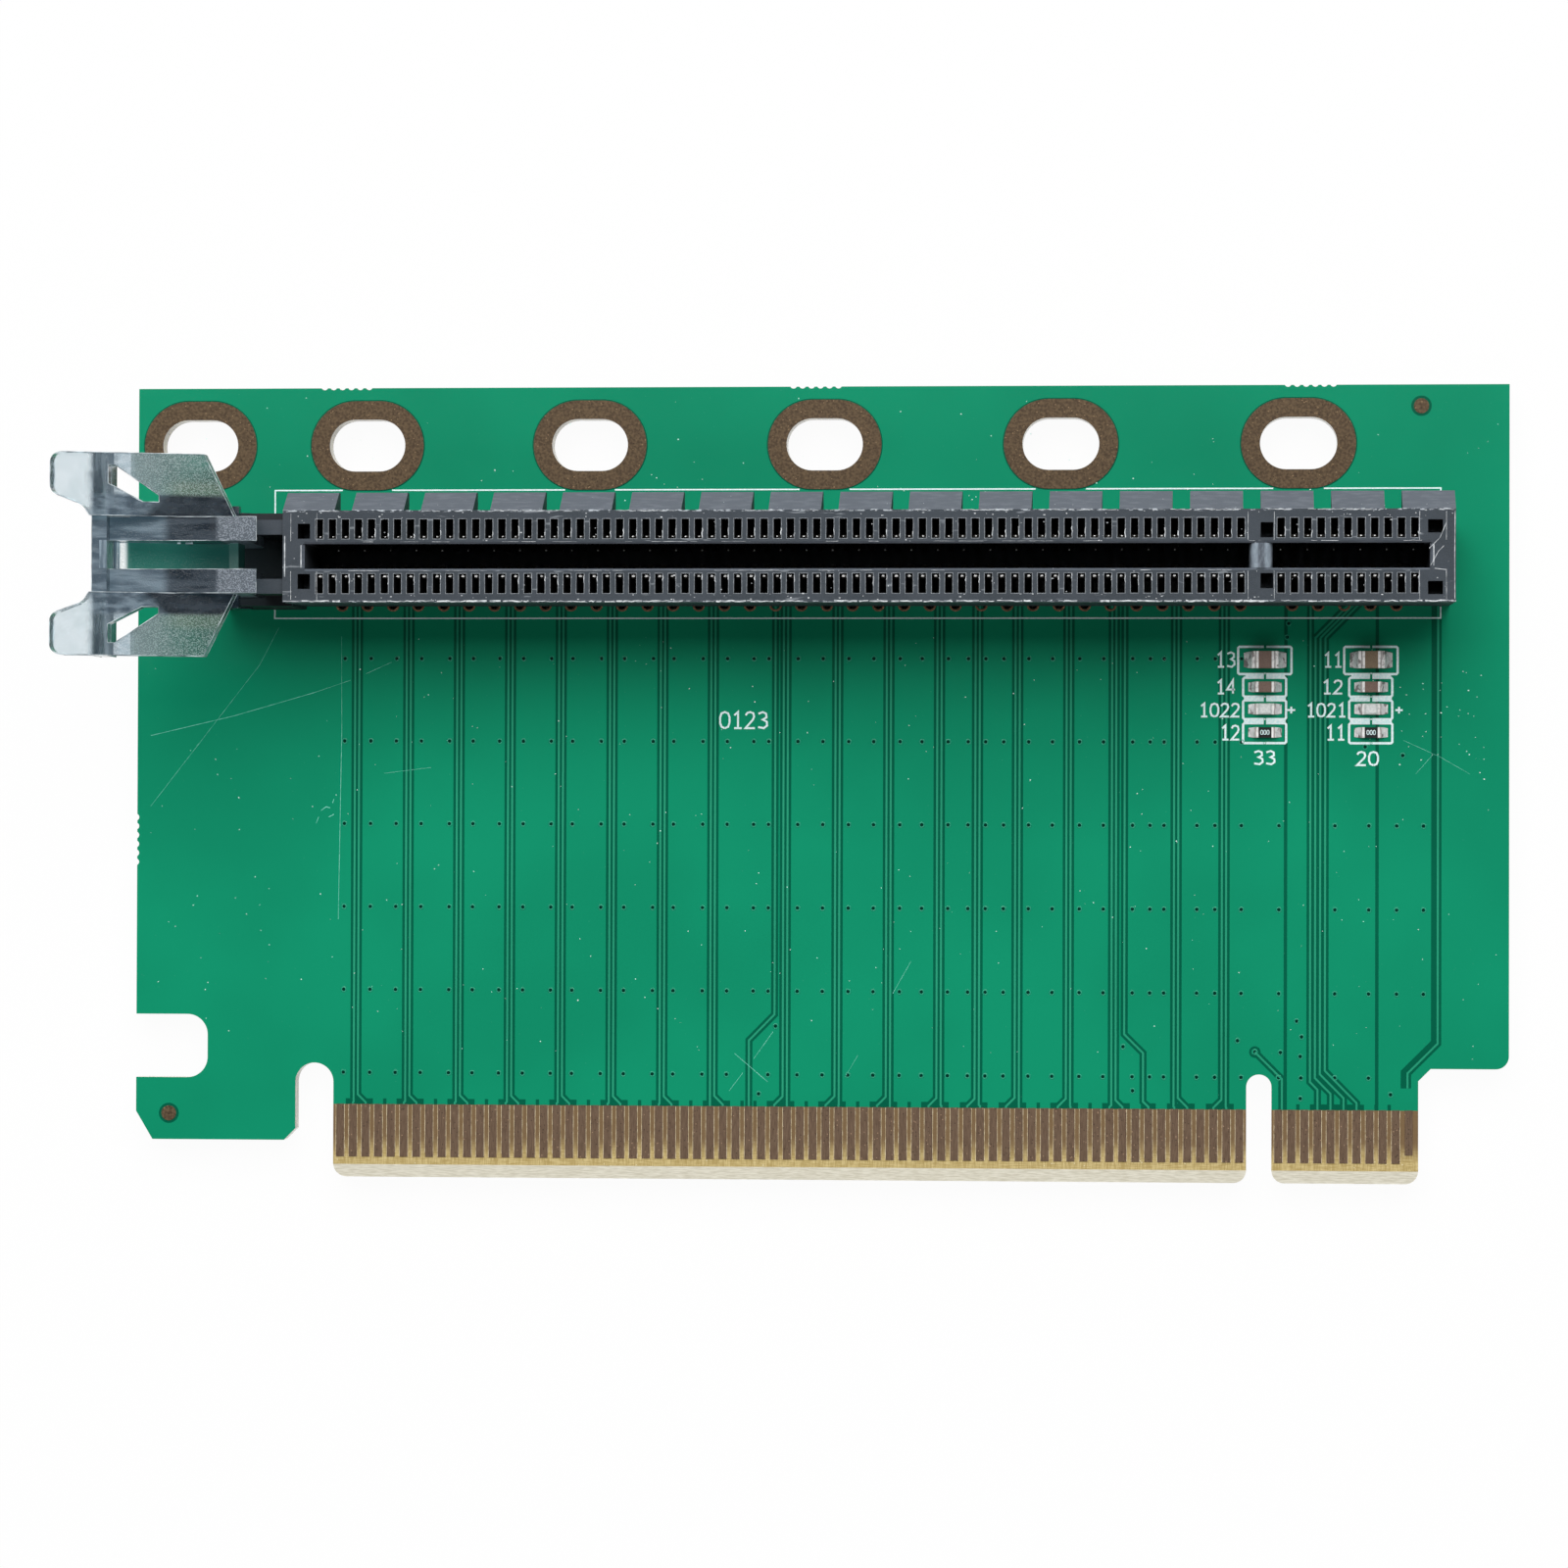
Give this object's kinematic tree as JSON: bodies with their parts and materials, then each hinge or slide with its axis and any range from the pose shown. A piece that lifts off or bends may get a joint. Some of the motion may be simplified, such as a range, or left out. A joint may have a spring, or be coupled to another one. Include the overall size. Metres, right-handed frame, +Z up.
{
  "type": "pcie riser card",
  "caption": "Riser card with a long expansion slot, a clear hinged retention latch, edge fingers and six slotted mounting holes.",
  "frame": {"origin": "middle of the key notch, on the bottom edge of the tongue, in the component face", "axes": "+X along the edge fingers towards the short tongue, +Y from the tongue towards the slotted holes, +Z up out of the component face"},
  "size_m": [0.1103, 0.0617, 0.0198],
  "materials": {
    "solder_mask": "green solder mask over glass epoxy",
    "finger_gold": "dull tarnished contact plating",
    "bare_copper": "dull brown bare copper",
    "slot_plastic": "slate grey moulded, lightly scratched",
    "contact_metal": "satin plated spring strip",
    "latch_clear": "clear smoke grey moulding with frosted faces",
    "chip_ceramic": "matte brown ceramic",
    "tin": "bright tin",
    "led_white": "white",
    "led_lens": "clear",
    "resistor_black": "black glaze",
    "solder": "bright solder"
  },
  "bodies": {
    "card": {"capacitor_1_body": "chip_ceramic", "capacitor_1_terminals": "tin", "capacitor_2_body": "chip_ceramic", "capacitor_2_terminals": "tin", "capacitor_3_body": "chip_ceramic", "capacitor_3_terminals": "tin", "capacitor_4_body": "chip_ceramic", "capacitor_4_terminals": "tin", "chip_solder": "solder", "circuit_board": "solder_mask", "edge_fingers_back": "finger_gold", "edge_fingers_front": "finger_gold", "fiducial_marks": "bare_copper", "hole_pads_back": "bare_copper", "hole_pads_front": "bare_copper", "led_1_base": "led_white", "led_1_lens": "led_lens", "led_1_terminals": "tin", "led_2_base": "led_white", "led_2_lens": "led_lens", "led_2_terminals": "tin", "resistor_1_body": "resistor_black", "resistor_1_terminals": "tin", "resistor_2_body": "resistor_black", "resistor_2_terminals": "tin", "slot_contacts_far": "contact_metal", "slot_contacts_near": "contact_metal", "slot_housing": "slot_plastic"},
    "latch": {"retention_latch": "latch_clear"}
  },
  "joints": [
    {"name": "latch_hinge", "type": "hinge", "parent": "card", "child": "latch", "pos_m": [-0.07863, 0.04787, 0.0043], "axis": [0, -1, 0], "range_deg": [0, 30]}
  ]
}
